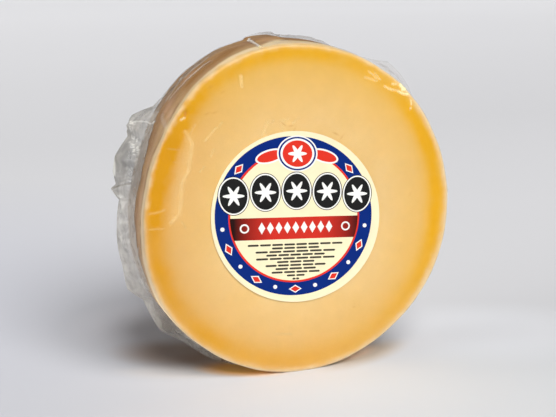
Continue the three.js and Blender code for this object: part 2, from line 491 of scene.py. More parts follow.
# Where the brown rind starts and is nearly whole, as depths in mm from the middle: (angle, start, whole).
RIND_EDGE = [
    (0, -22, -15), (60, -22, -15), (86, -15, -7), (97, -15, -7), (103, -23, -18), (125, -26, -20.5),
    (140, -27.5, -20), (160, -25.5, -19), (190, -25, -18), (204, -22, -14), (214, -10, 4), (250, -10, 4),
    (290, -19, -11), (330, -22, -15),
]

# Painted shade along a thin crease at the rind's front edge on the left: (angle, depth in mm).
EDGE_CREASE = [
    (134, -19), (139, -21.5), (143, -24), (150, -22.5), (157, -18.5), (162, -19.5), (170, -20), (190, -20.5),
    (196, -20), (208, -18),
]

# Where the rind is blushed, or darker if the strength is below 0: (angle, depth, half length, half width,
# strength), with the depth and the halves in mm.
RIND_PATCHES = [
    (118, -15, 13, 6, -1.3), (127, -13, 10, 6, -1.5), (131, -19, 5, 4, -0.8), (113, -4, 12, 7, -0.7),
    (108, 3, 9, 5, 0.4), (127, 3, 7, 5, 0.9), (139, -5, 9, 6, 0.9), (141, -17, 6, 4, 1.0),
    (99, -8, 5, 8, 0.5), (150, -12, 9, 4, 0.2), (158, -14, 9, 4, 0.5), (171, -14, 14, 4, 0.6),
    (184, -13, 12, 4, 0.5),
]

# Small hollows in the labelled face: (angle, share, width and depth in mm).
FACE_PITS = [
    (299, 0.695, 3.2, 0.35), (350, 0.875, 5.0, 0.30), (98, 0.555, 4.0, 0.25), (137.6, 0.953, 2.4, 1.10),
    (333, 0.760, 2.5, 0.18), (228, 0.840, 3.0, 0.20), (196, 0.700, 2.2, 0.16), (66, 0.640, 3.5, 0.22),
    (20, 0.720, 2.4, 0.16), (262, 0.800, 2.8, 0.16),
]

# Brown and orange flecks of the labelled face: (angle, share, length and width in mm, turn, strength).
FACE_FLECKS = [
    (125.8, 0.979, 2.6, 1.0, 20, 0.35), (125.4, 0.940, 3.0, 1.0, 25, 0.35), (132.3, 0.848, 4.0, 1.0, 15, 0.3),
    (130.1, 0.820, 4.4, 1.1, 10, 0.30), (123.0, 0.873, 3.0, 1.0, 30, 0.22), (137.9, 0.950, 2.8, 2.0, 80, 1.0),
    (102.7, 0.547, 4.5, 0.9, -35, 0.45), (98.6, 0.528, 5.0, 0.9, 20, 0.40), (96.2, 0.507, 3.5, 0.9, 60, 0.35),
    (66.8, 0.521, 5.0, 1.0, -25, 0.45), (61.6, 0.516, 4.0, 0.9, 50, 0.35), (19.3, 0.879, 2.6, 1.2, 0, 0.25),
    (5.0, 0.724, 4.0, 1.2, 60, 0.20), (149.5, 0.890, 3.4, 1.2, 75, 0.30), (154.0, 0.913, 2.6, 1.4, 80, 0.25),
    (299.0, 0.700, 3.4, 0.9, 80, 0.30),
]


def cheese_profile():
    """(shares of the outline, depths) of the rows, from the labelled face to the back one."""
    depth = rind_depths(CHEESE_EDGE_ROWS, CHEESE_RIND_ROWS, CHEESE_EDGE_ROWS)[1:]
    front = FRONT_FLAT * (np.arange(1, CHEESE_FACE_ROWS + 1) / CHEESE_FACE_ROWS) ** ROW_CROWDING
    back = BACK_FLAT * (np.arange(CHEESE_BACK_ROWS - 1, 0, -1) / CHEESE_BACK_ROWS) ** ROW_CROWDING
    share = np.concatenate([front, 1 - edge_inset(depth) / WHEEL_RADIUS, back])
    return share, np.concatenate([np.full(front.shape, -HALF), depth, np.full(back.shape, HALF)])


def edge_tones(angle, share, y, grid):
    """(strength of the amber band, how far the pale rim outside it has begun, how much deeper and darker the
    tones are).
    """
    values = by_angle(EDGE_TONES, np.degrees(angle) % 360)
    strength, middle, inward, outward, rim_start, rim_end, deepening = values
    reach = share + (HALF - np.abs(y)) / WHEEL_RADIUS
    wander = 0.008 * rough_lumps(grid, 22 * MM, 11)
    away = reach + wander - middle
    band = np.exp(-0.5 * (away / np.where(away < 0, inward, outward)) ** 2)
    upper_left = smooth_ramp(np.degrees(angle), 85, 115) * (angle < math.pi)
    patchy = 0.12 + 0.26 * upper_left
    blotch = 1 + 0.26 * rough_lumps(grid, 16 * MM, 12) + patchy * rough_lumps(grid, 7 * MM, 14)
    ragged = (0.011 + 0.060 * patchy) * rough_lumps(grid, 6 * MM, 13)
    rim = smooth_ramp(reach + 0.6 * wander + ragged, rim_start, rim_end)
    return strength * band * blotch, rim, deepening * smooth_ramp(share, 0.3, 0.8)


def rind_strength(angle, y, grid):
    """0 on the paste, 1 where the brown rind has begun."""
    start, whole = by_angle(RIND_EDGE, np.degrees(angle) % 360)
    depth = y + 1.1 * MM * rough_lumps(grid, 11 * MM, 21)
    front = 0.8 * smooth_ramp(depth, start * MM, whole * MM) + 0.2 * smooth_ramp(depth, -20 * MM, -6 * MM)
    return front * smooth_fall(depth, 26.5 * MM, 31.5 * MM)


def rind_marks(angle, y, grid):
    """(lengthwise streaks from 0 to 1, painted shade of the thin crease from 0 to 1, blush from -1 to 1) of
    the rind.
    """
    along = WHEEL_RADIUS * angle
    stretched = np.stack([along * 0.14 + y * 0.25, y * 0.9, 0 * along], axis=-1)
    streaks = 0.5 + 0.75 * rough_lumps(stretched, 3.4 * MM, 22)
    places, depths = np.array(EDGE_CREASE, dtype=float).T
    degrees = np.degrees(angle) % 360
    line = np.interp(degrees, places, depths) * MM + 0.5 * MM * rough_lumps(grid, 9 * MM, 23)
    inside = window(degrees, (places[0], places[0] + 4), (places[-1] - 5, places[-1]))
    broken = smooth_ramp(rough_lumps(grid, 8 * MM, 24), -0.5, 0.1)
    crease = bell(y - line, 0.8 * MM) * inside * broken
    blush = 0.25 * rough_lumps(stretched, 7 * MM, 25)
    for place, depth, half_length, half_width, strength in RIND_PATCHES:
        off_along = along - WHEEL_RADIUS * math.radians(place)
        blush = blush + strength * bell(off_along, half_length * MM) * bell(y - depth * MM, half_width * MM)
    return np.clip(streaks, 0, 1), crease, blush


def pit_depth(grid):
    """Depth of the small hollows of the labelled face."""
    depth = np.zeros(grid.shape[:2])
    for angle, share, width, deep in FACE_PITS:
        turn = math.radians(angle)
        reach = share * float(outline_radius(np.array(turn)))
        x_off = grid[..., 0] - reach * math.cos(turn)
        z_off = grid[..., 2] - AXIS_HEIGHT - reach * math.sin(turn)
        away = np.hypot(x_off, z_off) / (width * MM) * (1 + 0.35 * rough_lumps(grid, 3 * MM, 31))
        depth = depth + deep * MM * np.exp(-0.5 * (away / 0.5) ** 2) * (grid[..., 1] < 0)
    return depth


def fleck_mask(angle, share, grid):
    """Strength of the brown flecks of the labelled face."""
    x, z = face_spot(angle, share)
    mask = np.zeros(angle.shape)
    for place, reach, length, width, turn, strength in FACE_FLECKS:
        fleck_x, fleck_z = face_spot(math.radians(place), reach)
        along, across = turned(x - fleck_x, z - fleck_z, -math.radians(turn))
        away = (along / (length / 2 * MM)) ** 2 + (across / (width / 2 * MM)) ** 2
        mask = np.maximum(mask, strength * np.exp(-0.7 * away))
    return mask * (grid[..., 1] < 0)


CHEESE_MASKS = (
    "amber", "rim", "rind", "share", "streaks", "crease", "deepening", "blush", "flecks", "face_edge_shade", "painted_glow",
)


def make_cheese_material():
    """Pale paste, amber under the rind, a cream rim and a brown leathery rind, all one surface."""
    material, tree, shader = new_material("cheese paste and rind")
    masks = [mask_socket(tree, name) for name in CHEESE_MASKS]
    amber, rim, rind, share, streaks, crease, deepening, blush, flecks, face_edge_shade, painted_glow = masks
    small_clouds = clouds(tree, 0.012, 4.0, 1.5)

    stained = mixed_value(tree, 0.5, clouds(tree, 0.018, 5.0, 2.6), streaks)
    rind_tone = layered_colour(
        tree,
        mixed_colour(tree, stained, RIND_DARK, RIND_LIGHT),
        (spread(tree, blush, 0.0, 1.0, 0.0, 0.85), RIND_BLUSH),
        (spread(tree, blush, -1.0, 0.0, 1.0, 0.0), RIND_DEEP),
    )
    colour = layered_colour(
        tree,
        mixed_colour(tree, clouds(tree, 0.055, 3.0, 2.3), PASTE_PALE, PASTE_WARM),
        (spread(tree, share, 0.55, 0.9, 0.0, 1.0), mixed_colour(tree, deepening, PASTE_OUTER, PASTE_DEEPENED)),
        (amber, mixed_colour(tree, deepening, AMBER_BRIGHT, AMBER_DEEP)),
        (rim, mixed_colour(tree, small_clouds, RIM_PALE, RIM_WARM)),
        (rind, rind_tone),
        # Painted shade along the thin crease at the rind's front edge.
        (maths(tree, "MULTIPLY", crease, 0.75), PAINTED_CREASE_SHADE),
        (flecks, FLECK_BROWN),
    )
    # Painted shade darkens and warms the edge of the labelled face at the upper left, against the key light.
    colour = mixed_colour(tree, face_edge_shade, colour, FACE_EDGE_SHADE_TONE, mode="MULTIPLY")
    mottled = mixed_value(tree, 0.35, small_clouds, clouds(tree, 0.005, 2.0, 1.2))
    colour = shaded(tree, colour, spread(tree, mottled, 0.0, 1.0, 0.945, 1.045))
    wrinkles = maths(tree, "MULTIPLY", grain(tree, 0.0048, 0.9), 2.2)
    feed(tree, shader, {
        "Base Color": colour,
        # The edge and the rind round the foot glow: painted light, though the cheese is no lamp.
        "Emission Color": mixed_colour(tree, painted_glow, BLACK_TONE, PAINTED_RIM_GLOW),
        "Emission Strength": 1.0,
        "Roughness": mixed_value(tree, rind, spread(tree, small_clouds, 0.0, 1.0, 0.36, 0.5), 0.62),
        "Normal": relief(tree, mixed_value(tree, rind, grain(tree, 0.0022, 0.35), wrinkles), 0.14, 0.0006),
        "Subsurface Weight": 0.12,
        "Subsurface Radius": (1.0, 0.55, 0.2),
        "Subsurface Scale": 0.004,
        "Specular IOR Level": 0.25,
    })
    return material


PASTE_PALE = tone(0.765, 0.527, 0.235)
PASTE_WARM = tone(0.745, 0.480, 0.172)
PASTE_OUTER = tone(0.730, 0.438, 0.100)
PASTE_DEEPENED = tone(0.665, 0.382, 0.122)
AMBER_BRIGHT = tone(0.735, 0.375, 0.008)
AMBER_DEEP = tone(0.625, 0.285, 0.002)
RIM_PALE = tone(0.79, 0.640, 0.425)
RIM_WARM = tone(0.70, 0.520, 0.290)
RIND_LIGHT = tone(0.41, 0.248, 0.108)
RIND_DARK = tone(0.235, 0.108, 0.034)
RIND_BLUSH = tone(0.45, 0.258, 0.158)
RIND_DEEP = tone(0.262, 0.115, 0.026)
FLECK_BROWN = tone(0.50, 0.19, 0.02)
FACE_EDGE_SHADE_TONE = tone(0.81, 0.78, 0.71)
PAINTED_RIM_GLOW = tone(0.33, 0.26, 0.145)
PAINTED_CREASE_SHADE = tone(0.13, 0.055, 0.020)
BLACK_TONE = tone(0.0, 0.0, 0.0)

# The edge of the labelled face is painted darker and warmer at the upper left, a painted shade against the
# key light there, and the edge and the rind beside it glow round the foot, painted light that stands in for
# light shining through them: (rise, fall), in degrees round the slice. Reach is 1 where the face ends and
# goes on growing over the rind.
FACE_EDGE_SHADE_PART = ((60, 95), (180, 205))
FACE_EDGE_SHADE_LEFT = (112, 130)
PAINTED_GLOW_PART = ((196, 214), (325, 350))
PAINTED_GLOW_WIDE = (232, 250)
PAINTED_GLOW_DEPTH = 12 * MM


def painted_face_edge_shade(degrees, reach, y):
    """How much painted shade darkens the edge of the labelled face."""
    leftward = smooth_ramp(degrees, *FACE_EDGE_SHADE_LEFT)
    edge = bell(reach - 0.998 - 0.020 * leftward, 0.014 + 0.016 * leftward)
    return edge * (y < 0) * window(degrees, *FACE_EDGE_SHADE_PART)


def painted_edge_glow(degrees, reach, y):
    """How strongly the edge and the rind round the foot glow: painted light that stands in for light shining
    through them.
    """
    wide = smooth_fall(degrees, *PAINTED_GLOW_WIDE)
    painted_glow = 0.32 * smooth_ramp(reach, 0.964, 0.986) + 0.68 * smooth_ramp(reach, 1.015, 1.045)
    painted_glow = painted_glow * smooth_ramp(1.03 + 0.27 * wide - reach, 0, 0.05 + 0.15 * wide)
    return painted_glow * window(degrees, *PAINTED_GLOW_PART) * (y < PAINTED_GLOW_DEPTH)


def make_cheese():
    """The whole slice, with its soft relief, pits and leathery rind."""
    profile_share, profile_depth = cheese_profile()
    share, angle = np.meshgrid(profile_share, spaced_angles(CHEESE_COLUMNS), indexing="ij")
    y = np.broadcast_to(profile_depth[:, None], share.shape)
    grid = slice_grid(share, y, angle)

    amber, rim, deepening = edge_tones(angle, share, y, grid)
    rind = rind_strength(angle, y, grid)
    soft = -0.06 * MM * (1 + rough_lumps(grid, 13 * MM, 41))
    leather = -0.28 * MM * creases(grid, 7 * MM, 5, 42) - 0.1 * MM * (1 + rough_lumps(grid, 3 * MM, 43))
    grid = raise_skin(grid, (1 - rind) * soft + rind * leather - pit_depth(grid))

    streaks, crease, blush = rind_marks(angle, y, grid)
    reach = share + (y + HALF) / WHEEL_RADIUS
    degrees = np.degrees(angle)
    face_edge_shade = painted_face_edge_shade(degrees, reach, y)
    painted_glow = painted_edge_glow(degrees, reach, y)
    flecks = fleck_mask(angle, share, grid)
    values = (amber, rim, rind, share, streaks, crease, deepening, blush, flecks, face_edge_shade, painted_glow)
    masks = dict(zip(CHEESE_MASKS, values))
    cheese = skin_object("cheese", grid, face_centre(-1), face_centre(1), masks, make_cheese_material())
    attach(cheese, "root")
    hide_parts("cheese_wheel")
    return cheese


# ---- The shrink film ----

# (angle, depth of the seam, reach beyond the rind) of each corner of the bag's sealed end.
SEALED_END = [
    (136, 21, 0), (141.5, 21, 3), (147.5, 22, 14.8), (151, 20, 16), (154, 21.5, 12), (161, 20, 17.3),
    (166, 21.5, 16), (169.8, 20.5, 12), (171.5, 22, 15), (175, 20, 7.5), (186, 21.5, 9.3), (197, 20, 10.3),
    (205.5, 20.5, 13.8), (211, 18, 7.5), (221.5, 9.5, 12.8), (229, 2, 7.9), (240, -7, 6.8), (248, -10, 4.5),
    (254, -10, 0),
]
LOOSE_CORNER = [
    (35, -10, 0), (39, -10, 4), (43, -10.5, 7), (48, -9, 9), (55, -11, 9.3), (59, -10, 4.4), (65, -10, 0),
]
SEALED_SPANS = (12.5 * MM, 6 * MM)  # from the seam to the feet, forward and back
CORNER_SPANS = (10 * MM, 12 * MM)
SEALED_RANGE = (100, 256)  # angles at which the spans are the sealed end's
SKIRT_SHARE = 0.2  # part of the sealed end's reach that is gained in the long slope before it

FILM_ON_FACE = 0.16 * MM  # clearance between the film and the cheese
FILM_ON_RIND = 0.35 * MM
FILM_INNER_ROWS = 8
FILM_FACE_ROWS = 56
FILM_FRONT_ROWS = 60
FILM_BACK_ROWS = 26
FILM_BACK_FACE_ROWS = 10
LABEL_ZONE = 0.5  # share of the face that the label covers for certain

# Columns are closer where the film is crumpled: (start, end, step) in degrees.
FILM_COLUMNS = [(0, 34, 2), (34, 68, 0.45), (68, 128, 0.6), (128, 212, 0.35), (212, 258, 0.6), (258, 360, 2)]

# Where the film turns milky over the rind, as it leaves the cheese on the left: (angle, depth in mm).
MILKY_EDGE = [
    (136, 16), (141, 10), (146, 5.5), (152, 1), (158, -5), (166, -7.5), (173, -5), (180, -7), (188, -11),
    (195, -14), (204, -10), (214, -9), (228, -12), (244, -17), (262, -22),
]

# Folds across the labelled face: ((angle, share) points, half width, height, painted highlight).
FACE_FOLDS = [
    ([(142.7, 0.897), (145.2, 0.829), (147.9, 0.815), (155.5, 0.790), (161.7, 0.806)], 3.2, 0.16, 0.27),
    ([(161.7, 0.806), (169.7, 0.788), (174.6, 0.790), (178.2, 0.832)], 3.4, 0.14, 0.24),
    ([(144.0, 0.870), (147.0, 0.845), (155.0, 0.822), (168.0, 0.815), (176.0, 0.815)], 8.0, 0.20, 0.10),
    ([(142.7, 0.869), (138.4, 0.871)], 1.2, 0.30, 0.24),
    ([(145.3, 0.874), (142.5, 0.872)], 1.2, 0.25, 0.20),
    ([(174.6, 0.968), (174.1, 0.916), (173.1, 0.878)], 1.7, 0.30, 0.20),
    ([(180.2, 0.965), (180.4, 0.877)], 1.4, 0.30, 0.15),
    ([(150.9, 0.947), (149.6, 0.886)], 1.2, 0.30, 0.15),
    ([(154.5, 0.893), (154.3, 0.869)], 1.0, 0.20, 0.12),
    ([(145.4, 0.693), (142.0, 0.697)], 1.2, 0.25, 0.18),
    ([(154.3, 0.719), (151.2, 0.705)], 1.1, 0.25, 0.18),
    ([(141.0, 0.768), (134.1, 0.757)], 1.5, 0.30, 0.22),
    ([(133.5, 0.748), (130.4, 0.748)], 1.2, 0.25, 0.14),
    ([(178.1, 0.770), (181.0, 0.743)], 1.1, 0.25, 0.14),
    ([(165.4, 0.811), (164.5, 0.778)], 1.1, 0.20, 0.10),
    ([(114.4, 0.892), (115.8, 0.838)], 2.1, 0.15, 0.36),
    ([(63.6, 0.938), (60.4, 0.929), (58.7, 0.919)], 1.0, 0.15, 0.58),
    ([(61.3, 0.948), (57.9, 0.932)], 1.0, 0.15, 0.55),
    ([(64.1, 0.895), (61.5, 0.905), (59.3, 0.910)], 1.4, 0.15, 0.46),
    ([(54.9, 0.915), (52.4, 0.922), (49.8, 0.944)], 1.5, 0.20, 0.78),
    ([(52.9, 0.955), (51.5, 0.972)], 1.4, 0.20, 0.65),
    ([(49.6, 0.944), (47.1, 0.957), (45.3, 0.978)], 1.6, 0.25, 1.05),
    ([(50.0, 0.985), (48.3, 0.980)], 2.3, 0.25, 1.30),
    ([(48.4, 0.974), (47.4, 0.986)], 2.2, 0.25, 1.40),
    ([(43.1, 0.969), (41.6, 0.952)], 1.3, 0.25, 0.90),
    ([(40.9, 0.936), (40.6, 0.930)], 1.3, 0.20, 0.75),
    ([(257.0, 0.748), (265.0, 0.743)], 1.6, 0.20, 0.10),
    ([(140.3, 0.956), (139.0, 0.945)], 1.6, 0.10, 0.55),
    ([(117.7, 0.528), (113.5, 0.569), (110.7, 0.592)], 2.2, 0.12, 0.14),
    ([(104.2, 0.508), (103.5, 0.567), (99.8, 0.572)], 2.4, 0.12, 0.09),
    ([(110.8, 0.572), (107.8, 0.582)], 1.8, 0.12, 0.09),
    ([(97.0, 0.545), (93.0, 0.570)], 1.8, 0.25, 0.08),
    ([(5.2, 0.985), (4.0, 0.998)], 1.2, 0.30, 0.35),
]

# Folds of the film on the rind and the bag's loose ends: ((angle, depth in mm) points, half width, height and
# painted highlight). A height below 0 is a valley, and a painted highlight below 0 is painted shade in a
# crease.
RIND_FOLDS = [
    # Long streaks over the upper left of the rind.
    ([(119.2, -3.5), (121.0, -2.5), (124.8, -4.0), (127.5, -4.5)], 1.3, 0.5, 0.45),
    ([(126.8, -4.5), (128.5, -2.8), (130.2, -3.6), (133.2, -1.0), (136.8, 1.0)], 2.1, 0.5, 0.28),
    ([(117.8, 8.0), (121.0, 6.5), (124.8, 6.0), (128.2, 5.0)], 1.2, 0.6, 0.32),
    ([(129.0, 9.0), (133.0, 6.5), (138.0, 6.5)], 1.8, 0.7, 0.20),
    ([(120.5, 11.5), (123.0, 11.5), (125.5, 11.5), (127.2, 9.8)], 1.2, 1.0, -0.75),
    ([(127.2, 10.5), (129.0, 9.4), (132.0, 10.0), (133.8, 11.5)], 1.1, 1.0, -0.65),
    ([(133.2, 12.0), (135.8, 14.5), (137.5, 17.0)], 1.1, 0.9, -0.60),
    ([(142.5, -5.0), (144.0, -14.0), (145.0, -26.0)], 4.0, 0.5, 0.13),
    ([(103.0, 9.0), (103.7, -6.0), (104.2, -20.0), (104.4, -27.0)], 1.6, 1.2, 0.75),
    # The film bridges the back edge at the top.
    ([(99.0, 14.0), (88.0, 15.0), (76.0, 13.0)], 9.0, 2.2, 0.03),
    ([(95.5, 8.0), (89.0, 10.0)], 0.9, 0.6, -0.40),
    ([(95.5, -16.0), (92.5, -15.0)], 0.9, 0.6, -0.35),
    # The sealed end, from its top corner down.
    ([(149.6, 19.5), (148.3, 17.0), (147.0, 12.5), (146.4, 6.5)], 0.9, 0.7, 0.22),
    ([(146.0, 7.0), (145.3, 3.5)], 1.9, 0.8, 0.42),
    ([(153.0, 21.0), (156.8, 19.0), (162.8, 16.5), (168.2, 16.0)], 3.4, -1.7, -0.10),
    ([(158.0, 12.0), (163.0, 9.0), (168.0, 8.5)], 3.2, 1.3, 0.02),
    ([(160.6, 20.6), (163.5, 20.8), (167.0, 20.8)], 1.2, 0.3, 0.55),
    ([(171.3, 21.6), (170.2, 18.5), (169.2, 14.5), (168.2, 9.0)], 1.0, -1.0, -0.75),
    ([(169.4, 19.0), (168.0, 15.0), (167.0, 11.0)], 0.8, -0.5, -0.35),
    ([(168.0, 18.5), (166.8, 15.0), (166.0, 11.0)], 0.8, -0.5, -0.30),
    ([(166.6, 18.0), (165.6, 14.5)], 0.8, -0.4, -0.25),
    ([(173.6, 19.5), (173.9, 16.5)], 1.0, 0.5, 0.40),
    ([(174.4, 16.5), (178.0, 15.0), (182.0, 15.0), (187.0, 18.0)], 3.6, 1.2, 0.08),
    ([(174.5, 11.0), (179.0, 8.0), (184.0, 6.0), (188.0, 11.0)], 3.6, -1.3, -0.10),
    ([(187.5, 19.5), (190.5, 14.5), (192.0, 8.0), (196.0, 4.0)], 1.2, 0.9, 0.08),
    ([(198.0, 18.0), (203.0, 12.0), (206.0, 3.0)], 1.4, 1.0, 0.05),
    ([(209.0, 17.0), (213.0, 10.0), (216.0, 1.0)], 1.2, 1.0, 0.06),
    ([(221.5, 8.5), (226.0, 1.0), (229.0, -7.0)], 1.2, 0.9, 0.05),
    ([(188.0, -15.0), (200.0, -17.5), (212.0, -19.5), (230.0, -22.0)], 1.2, 0.6, 0.38),
    ([(212.0, 9.0), (217.5, 5.0), (223.5, -2.0), (232.0, -10.0)], 1.1, 0.5, 0.10),
    ([(203.0, 6.0), (208.0, 3.0)], 3.0, 0.5, 0.18),
    # The loose corner.
    ([(62.0, -12.0), (56.0, -6.0), (50.0, -5.0), (42.0, -8.0)], 1.2, 0.7, 0.10),
    ([(60.5, -16.0), (55.0, -15.5), (49.0, -14.0)], 1.0, 0.6, -0.12),
    ([(50.0, -17.0), (46.0, -18.0), (42.0, -20.0)], 1.2, 0.7, 0.18),
]

# The film is crushed into small sparkling crinkles along this line: (angle, depth in mm), and half its width.
CRUSHED_LINE = [(149.5, 21.0), (151.5, 20.5), (153.6, 18.0), (156.8, 12.0), (160.5, 4.0)]
CRUSHED_HALF = 5.0

# Parts of the film, each (rise, fall) in degrees round the slice.
SEALED_PART = ((136, 147), (240, 262))
LOOSE_PART = ((30, 34), (68, 72))
BRIDGE_PART = ((68, 76), (96, 101))  # over the back edge at the top
CLEAR_PART = ((203, 209), (222, 230))
DULL_PART = ((155, 158), (167, 171))

# How the film turns whiter or greyer past some angles, greyer by the foot as painted shade, and how much
# painted shade darkens it by the foot: (start, end, change).
WHITENESS_STEPS = [(168, 176, 0.38), (188, 200, 0.24), (216, 230, -0.90)]
FOOT_SHADE_STEPS = [(217, 228, 0.5), (225, 247, 1.7)]
FOOT_SHADE_END = (270, 300)

# Turns of the flat facets, so that the large and the small ones don't line up.
LARGE_FACET_TURN = np.array([[0.8, 0.6], [-0.6, 0.8]])
CRINKLE_TURN = np.array([[0.6, -0.8], [0.8, 0.6]])


def film_corners(degrees):
    """(depth of the seam, reach, spans forward and back) of the loose film at each angle."""
    depth, reach = by_angle(LOOSE_CORNER + SEALED_END, degrees)
    sealed = (degrees > SEALED_RANGE[0]) & (degrees < SEALED_RANGE[1])
    spans = [np.where(sealed, *pair) for pair in zip(SEALED_SPANS, CORNER_SPANS)]
    return depth * MM, reach * MM, *spans


def rind_walk():
    """Depths along the rind and round both edges, and how far along the surface each one is."""
    y = rind_depths(39, 59, 59)
    steps = np.hypot(np.diff(y), np.diff(edge_inset(y)))
    return y, np.concatenate([[0], np.cumsum(steps)])


def distance_to_line(places, line):
    """How far places (..., 2) are from a line of points."""
    nearest = np.full(places.shape[:-1], 1.0)
    for start, end in zip(line[:-1], line[1:]):
        along = end - start
        off = places - start
        part = np.clip((off @ along) / (along @ along), 0, 1)
        nearest = np.minimum(nearest, np.linalg.norm(off - part[..., None] * along, axis=-1))
    return nearest


def fold_relief(places, grid, folds, to_place):
    """(height, painted highlight, painted shade) that named folds add to the film, each a small roof along
    its line.
    """
    height = np.zeros(places.shape[:-1])
    highlight = np.zeros_like(height)
    painted_shade = np.zeros_like(height)
    uneven = 1 + 0.45 * rough_lumps(grid, 5 * MM, 61)
    for points, half_width, high, tint in folds:
        gap = distance_to_line(places, to_place(np.array(points)))
        roof = np.clip(1 - gap / (half_width * MM), 0, 1)
        height = height + high * MM * roof * uneven
        soft = roof * roof * (3 - 2 * roof) * uneven
        highlight = np.maximum(highlight, max(tint, 0) * soft)
        painted_shade = np.maximum(painted_shade, max(-tint, 0) * soft)
    return height, highlight, painted_shade


def face_places(points):
    """Places on the face, from the axis, of (angle, share) points."""
    turns = np.radians(points[:, 0])
    reach = points[:, 1] * outline_radius(turns)
    return np.stack([reach * np.cos(turns), reach * np.sin(turns)], axis=1)


def rind_places(points):
    """Places on the unrolled rind, round and across it, of (angle, depth in mm) points."""
    return np.stack([WHEEL_RADIUS * np.radians(points[:, 0]), points[:, 1] * MM], axis=1)


FILM_MASKS = ("haze", "painted_glints", "painted_shade", "whiteness", "on_face")


def make_film_material():
    """Clear shrink film: almost unseen where it clings, milky where it is loose, with painted highlights on
    its folds and painted shade in its creases.
    """
    material, tree, shader = new_material("shrink film")
    haze, painted_glints, painted_shade, whiteness, on_face = [mask_socket(tree, name) for name in FILM_MASKS]
    streaks = clouds(tree, 0.011, 3.0, 1.8)
    edge_on = add_node(tree, "ShaderNodeLayerWeight", inputs={"Blend": 0.3}).outputs["Facing"]
    glint = maths(tree, "MULTIPLY", maths(tree, "POWER", edge_on, 3.0), 0.12)
    clouded = maths(tree, "MULTIPLY", haze, spread(tree, streaks, 0.0, 1.0, 0.88, 1.12))
    darkened = maths(tree, "ADD", clouded, glint, 0.004, painted_shade)
    seen = maths(tree, "ADD", darkened, painted_glints)
    shadow_ray = add_node(tree, "ShaderNodeLightPath").outputs["Is Shadow Ray"]
    passed = maths(tree, "SUBTRACT", 1.0, maths(tree, "MULTIPLY", on_face, shadow_ray, 0.85))
    whitened = maths(tree, "ADD", whiteness, maths(tree, "MULTIPLY", streaks, 0.2))
    # The milky tone, with painted shade and painted highlights laid over it.
    colour = layered_colour(
        tree,
        mixed_colour(tree, whitened, FILM_GREY, FILM_WHITE),
        (maths(tree, "DIVIDE", painted_shade, darkened), FILM_PAINTED_SHADE),
        (maths(tree, "DIVIDE", painted_glints, seen), mixed_colour(tree, on_face, FILM_PAINTED_HIGHLIGHT, FILM_PAINTED_HIGHLIGHT_FACE)),
    )
    feed(tree, shader, {
        "Base Color": colour,
        "Alpha": maths(tree, "MULTIPLY", maths(tree, "MINIMUM", seen, 1.0), passed),
        "Roughness": spread(tree, streaks, 0.0, 1.0, 0.2, 0.36),
        "Normal": relief(tree, grain(tree, 0.006, 0.2), 0.06, 0.0006),
        "IOR": 1.5,
    })
    return material


FILM_GREY = tone(0.215, 0.212, 0.202)
FILM_WHITE = tone(0.62, 0.595, 0.550)
FILM_PAINTED_SHADE = tone(0.068, 0.048, 0.030)
FILM_PAINTED_HIGHLIGHT = tone(0.90, 0.89, 0.84)
FILM_PAINTED_HIGHLIGHT_FACE = tone(1.0, 0.91, 0.50)


def film_layout():
    """(shares, depths, angles) of the film's points, and what film_corners says of each column."""
    columns = spaced_angles(FILM_COLUMNS)
    walk_y, walk = rind_walk()
    corners = film_corners(np.degrees(columns))
    seam_walk = np.interp(corners[0], walk_y, walk)
    ahead = 1 - (1 - np.linspace(0, 1, FILM_FRONT_ROWS + 1)[1:]) ** 1.5
    behind = np.linspace(0, 1, FILM_BACK_ROWS + 1)[1:] ** 1.4
    front_walk = ahead[:, None] * seam_walk
    back_walk = seam_walk + behind[:, None] * (walk[-1] - seam_walk)
    rind_y = np.interp(np.vstack([front_walk, back_walk]), walk, walk_y)

    inner = np.linspace(0, LABEL_ZONE, FILM_INNER_ROWS + 1)[1:]
    outer = np.linspace(LABEL_ZONE, FRONT_FLAT, FILM_FACE_ROWS + 1)[1:]
    back = np.linspace(BACK_FLAT, 0, FILM_BACK_FACE_ROWS + 1)[1:-1]
    front_share, back_share = (
        np.repeat(rows[:, None], len(columns), axis=1) for rows in (np.concatenate([inner, outer]), back)
    )
    y = np.vstack([np.full(front_share.shape, -HALF), rind_y, np.full(back_share.shape, HALF)])
    share = np.vstack([front_share, 1 - edge_inset(rind_y) / WHEEL_RADIUS, back_share])
    return share, y, np.broadcast_to(columns, share.shape), corners


def loose_reach(skin, seam_y, reach, forward, backward):
    """(how far the loose ends stand off the slice, how near each point is to their seam, from 0 to 1)."""
    side = np.where(skin.y < seam_y, (seam_y - skin.y) / forward, (skin.y - seam_y) / backward)
    near = np.clip(1 - side, 0, 1)
    slope = np.clip((skin.y - skin.milky_depth) / np.maximum(seam_y - skin.milky_depth, 1 * MM), 0, 1)
    skirt = np.where(skin.y > seam_y, near, slope) * skin.leftward
    return reach * ((1 - SKIRT_SHARE * skin.leftward) * near**1.25 + SKIRT_SHARE * skirt**1.5), near


